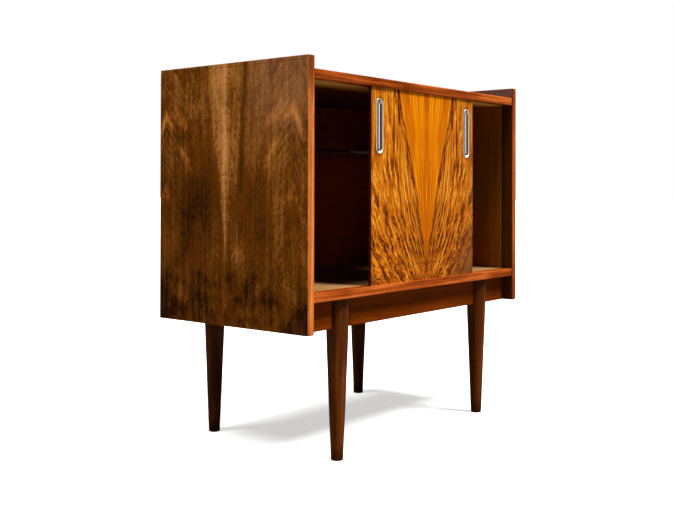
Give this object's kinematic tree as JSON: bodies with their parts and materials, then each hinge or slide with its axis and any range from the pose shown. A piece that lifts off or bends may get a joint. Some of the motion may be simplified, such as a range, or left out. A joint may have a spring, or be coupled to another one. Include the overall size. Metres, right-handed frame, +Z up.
{
  "type": "cellarette",
  "caption": "Bar cabinet on turned tapered legs, with raised side panels, overlapping sliding doors in grooved tracks, recessed oblong pulls and a glass shelf.",
  "frame": {"origin": "on the floor, under the middle of the cabinet", "axes": "+X across the width to the right as seen from the front, -Y out of the front, +Z up"},
  "size_m": [0.8, 0.415, 0.79],
  "materials": {
    "side_veneer": "satin varnished walnut veneer, bookmatched",
    "lipping_wood": "satin varnished reddish solid wood",
    "top_board": "satin varnished walnut veneer, pale inside face",
    "pale_board": "satin pale veneer",
    "liner_board": "satin brown veneer",
    "back_board": "matt brown fibre board",
    "door_veneer": "gloss varnished golden veneer, bookmatched",
    "door_edge": "satin varnished solid wood",
    "apron_wood": "satin varnished brown wood",
    "leg_wood": "satin varnished dark brown wood, turned",
    "pull_metal": "polished, lightly worn",
    "fastener_steel": "dull zinc",
    "shelf_glass": "clear, ground edges"
  },
  "bodies": {
    "cabinet": {"back_panel": "back_board", "back_screws": "fastener_steel", "bottom_panel": "pale_board", "bottom_track_lipping": "lipping_wood", "front_apron_centre": "apron_wood", "front_apron_left": "apron_wood", "front_apron_right": "apron_wood", "front_legs": "leg_wood", "glass_shelf": "shelf_glass", "left_front_lipping": "lipping_wood", "left_liner": "liner_board", "left_side_panel": "side_veneer", "left_top_lipping": "lipping_wood", "leg_bolts": "fastener_steel", "rear_apron_centre": "apron_wood", "rear_apron_left": "apron_wood", "rear_apron_right": "apron_wood", "rear_legs": "leg_wood", "right_front_lipping": "lipping_wood", "right_liner": "liner_board", "right_side_panel": "side_veneer", "right_top_lipping": "lipping_wood", "shelf_pins": "fastener_steel", "top_panel": "top_board", "top_track_lipping": "lipping_wood"},
    "front_door": {"front_door_edge_strips": "door_edge", "front_door_panel": "door_veneer", "front_door_pulls": "pull_metal"},
    "rear_door": {"rear_door_edge_strips": "door_edge", "rear_door_panel": "door_veneer", "rear_door_pulls": "pull_metal"}
  },
  "joints": [
    {"name": "front_door_slide", "type": "slide", "parent": "cabinet", "child": "front_door", "axis": [1, 0, 0], "range_m": [-0.186, 0.179]},
    {"name": "rear_door_slide", "type": "slide", "parent": "cabinet", "child": "rear_door", "axis": [1, 0, 0], "range_m": [-0.2015, 0.1635]}
  ]
}
